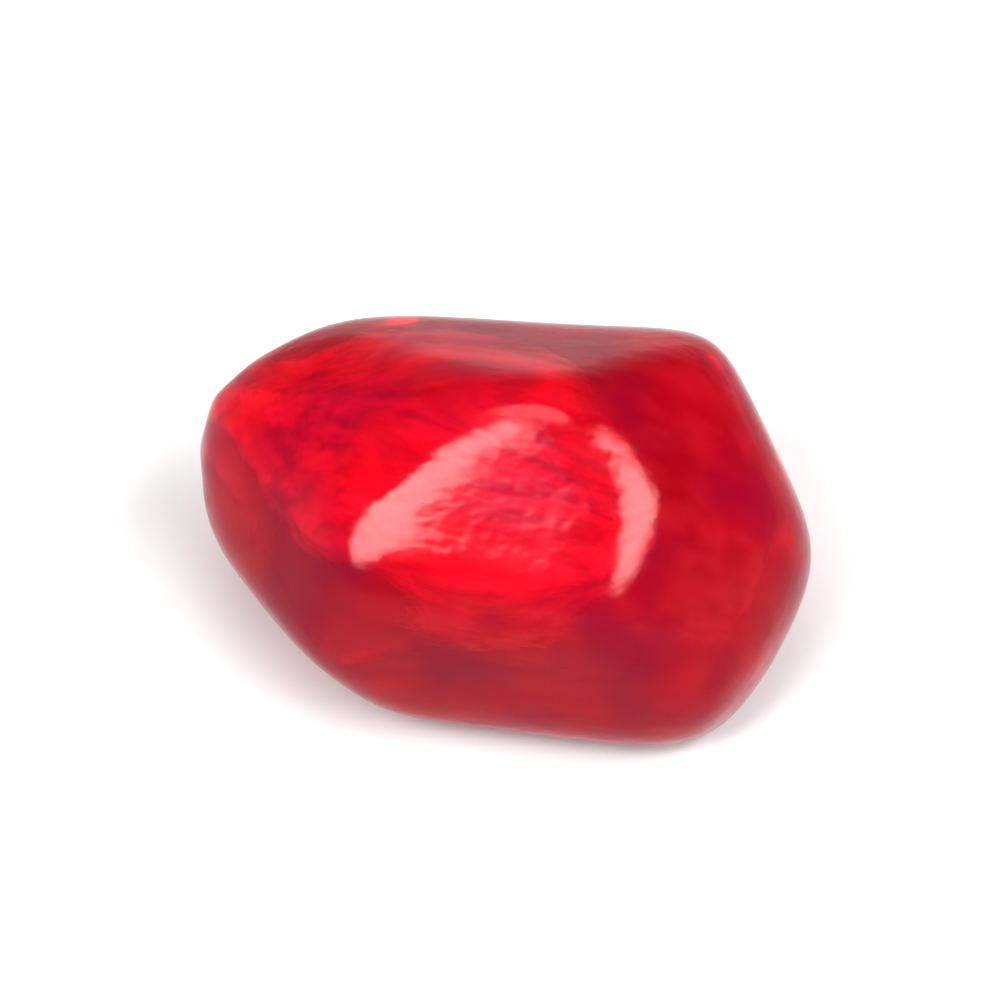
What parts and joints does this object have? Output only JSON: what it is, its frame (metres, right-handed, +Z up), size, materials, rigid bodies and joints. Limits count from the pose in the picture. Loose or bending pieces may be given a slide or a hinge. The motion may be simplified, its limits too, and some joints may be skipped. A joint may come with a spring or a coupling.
{
  "type": "pomegranate aril",
  "caption": "Single pomegranate aril: a translucent red drop of juicy flesh round a pale seed, pressed into flat sides and lying on one of them.",
  "frame": {"origin": "under the middle of the aril, on the surface that it lies on", "axes": "+X along the long axis from the hilum end to the broad outer end, +Z up, away from the resting side"},
  "size_m": [0.0112, 0.0074, 0.0069],
  "materials": {
    "pulp": "wet gloss over translucent ruby red",
    "seed": "matte cream, stained pink by the juice"
  },
  "bodies": {
    "root": {"aril": "pulp"}
  },
  "joints": []
}
